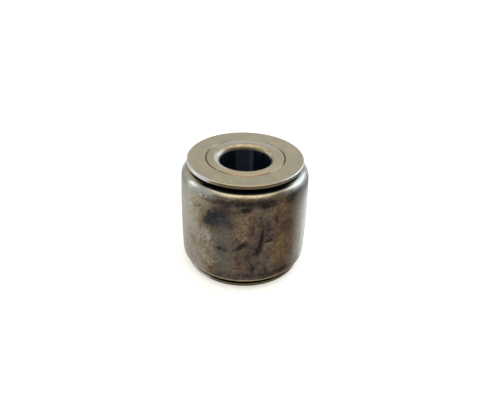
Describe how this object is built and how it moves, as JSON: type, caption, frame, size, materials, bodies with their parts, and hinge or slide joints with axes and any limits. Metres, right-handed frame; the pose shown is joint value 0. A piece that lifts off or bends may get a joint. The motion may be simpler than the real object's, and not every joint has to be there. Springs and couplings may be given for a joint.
{
  "type": "cam follower",
  "caption": "Studless cam follower: a crowned steel roller that turns on needle rollers around a plain-bored inner ring, held endwise by flush pressed-on washers.",
  "frame": {"origin": "middle of the bore, on its axis, halfway between the two end faces", "axes": "+Z along the bore axis, upwards as the roller stands on its end; the roller is the same both ways up but for the outer ring's rest on the lower washer"},
  "size_m": [0.0158, 0.0158, 0.0142],
  "materials": {
    "inner_ring_steel": "ground bearing steel, satin end faces",
    "washer_steel": "lapped bearing steel, satin, faint stains",
    "outer_ring_steel": "ground bearing steel with a worn brown oil patina",
    "needle_steel": "polished bearing steel"
  },
  "bodies": {
    "core": {"inner_ring": "inner_ring_steel", "upper_washer": "washer_steel", "lower_washer": "washer_steel"},
    "roller": {"outer_ring": "outer_ring_steel"},
    "needle_set": {"needle_01": "needle_steel", "needle_02": "needle_steel", "needle_03": "needle_steel", "needle_04": "needle_steel", "needle_05": "needle_steel", "needle_06": "needle_steel", "needle_07": "needle_steel", "needle_08": "needle_steel", "needle_09": "needle_steel", "needle_10": "needle_steel", "needle_11": "needle_steel", "needle_12": "needle_steel", "needle_13": "needle_steel", "needle_14": "needle_steel", "needle_15": "needle_steel", "needle_16": "needle_steel", "needle_17": "needle_steel", "needle_18": "needle_steel", "needle_19": "needle_steel", "needle_20": "needle_steel", "needle_21": "needle_steel", "needle_22": "needle_steel"}
  },
  "joints": [
    {"name": "roller_spin", "type": "hinge", "parent": "core", "child": "roller", "pos_m": [0, 0, 0], "axis": [0, 0, 1], "continuous": true},
    {"name": "needle_orbit", "type": "hinge", "parent": "core", "child": "needle_set", "pos_m": [0, 0, 0], "axis": [0, 0, 1], "continuous": true}
  ],
  "couplings": [
    {"joint": "needle_orbit", "follows": "roller_spin", "ratio": 0.57197}
  ]
}
